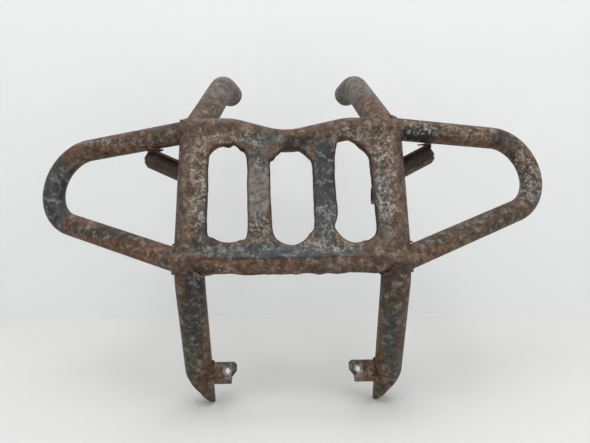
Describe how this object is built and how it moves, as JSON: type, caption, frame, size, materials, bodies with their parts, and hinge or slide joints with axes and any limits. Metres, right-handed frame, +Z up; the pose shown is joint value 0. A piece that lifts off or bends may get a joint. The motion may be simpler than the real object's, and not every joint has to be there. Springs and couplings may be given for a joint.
{
  "type": "front grille guard",
  "caption": "Welded tube guard for a small off-road vehicle: bent uprights, swept side loops and a slotted grille panel over the front.",
  "frame": {"origin": "Midway between the threaded centres of the two lower mounting tabs, on the front face of the tabs.", "axes": "+Z is up as fitted, -Y is the front of the vehicle, where the grille panel faces, and +X runs to the right as seen from the front."},
  "size_m": [0.6022, 0.3042, 0.3987],
  "materials": {
    "tube_paint": "matt, rusting",
    "panel_paint": "satin, worn and rust-spotted",
    "channel_paint": "matt, rusting",
    "tab_paint": "matt, rusting",
    "nut_steel": "dull",
    "weld_bead": "rough, rusting"
  },
  "bodies": {
    "root": {"left_upright_tube": "tube_paint", "right_upright_tube": "tube_paint", "left_side_loop": "tube_paint", "right_side_loop": "tube_paint", "top_cross_tube": "tube_paint", "bottom_cross_tube": "tube_paint", "grille_panel": "panel_paint", "left_mounting_tab": "tab_paint", "left_weld_nut": "nut_steel", "left_rear_stay": "channel_paint", "left_loop_brace": "channel_paint", "right_mounting_tab": "tab_paint", "right_weld_nut": "nut_steel", "right_rear_stay": "channel_paint", "right_loop_brace": "channel_paint", "left_tab_weld": "weld_bead", "left_loop_lower_weld": "weld_bead", "left_loop_upper_weld": "weld_bead", "left_bottom_cross_weld": "weld_bead", "left_top_cross_weld": "weld_bead", "left_panel_seam_weld": "weld_bead", "left_stay_weld": "weld_bead", "left_brace_weld": "weld_bead", "right_tab_weld": "weld_bead", "right_loop_lower_weld": "weld_bead", "right_loop_upper_weld": "weld_bead", "right_bottom_cross_weld": "weld_bead", "right_top_cross_weld": "weld_bead", "right_panel_seam_weld": "weld_bead", "right_stay_weld": "weld_bead", "right_brace_weld": "weld_bead", "bottom_panel_seam_weld": "weld_bead"}
  },
  "joints": []
}
